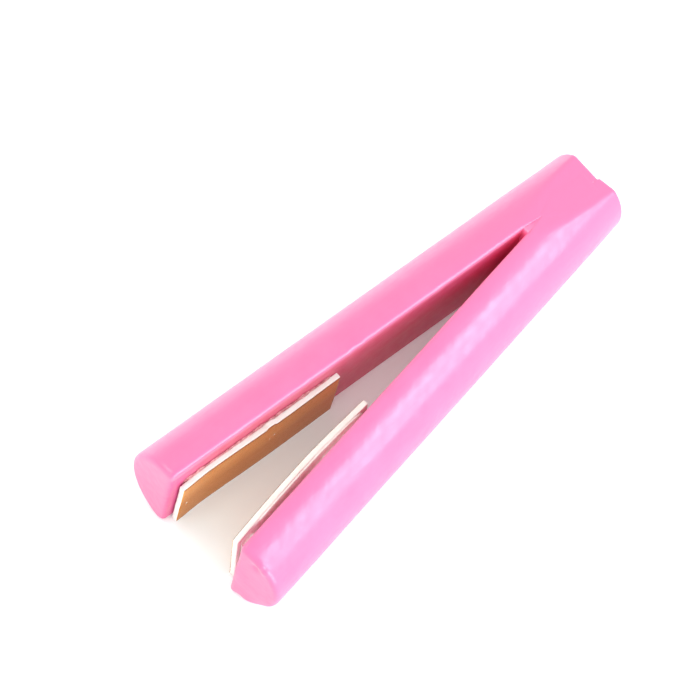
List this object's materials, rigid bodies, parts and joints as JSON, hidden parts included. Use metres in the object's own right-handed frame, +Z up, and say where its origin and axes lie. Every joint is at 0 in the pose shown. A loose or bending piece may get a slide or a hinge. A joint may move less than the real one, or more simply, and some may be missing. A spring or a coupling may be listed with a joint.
{
  "type": "miniature hair straightener",
  "caption": "Dollhouse miniature hair straightener: painted half-round wooden arms glued into an open V, with card-backed metallic plates on their inner faces.",
  "frame": {"origin": "centre of the footprint, on the surface that the arms rest on", "axes": "+X from the glued fork to the open tips, +Y from the whole arm to the mitred arm, +Z up"},
  "size_m": [0.0254, 0.009, 0.0047],
  "materials": {
    "pink_paint": "satin brushed pink paint over wood",
    "painted_filler": "glue and filler, painted over in satin pink",
    "white_card": "matt, with hand-cut edges",
    "copper_foil": "semi-gloss copper-coloured metallic face",
    "dried_glue": "glossy, slightly cloudy"
  },
  "bodies": {
    "root": {"rear_arm": "pink_paint", "front_arm": "pink_paint", "fork_glue": "painted_filler", "rear_plate_glue": "dried_glue", "rear_plate_card": "white_card", "rear_plate_foil": "copper_foil", "front_plate_glue": "dried_glue", "front_plate_card": "white_card", "front_plate_foil": "copper_foil"}
  },
  "joints": []
}
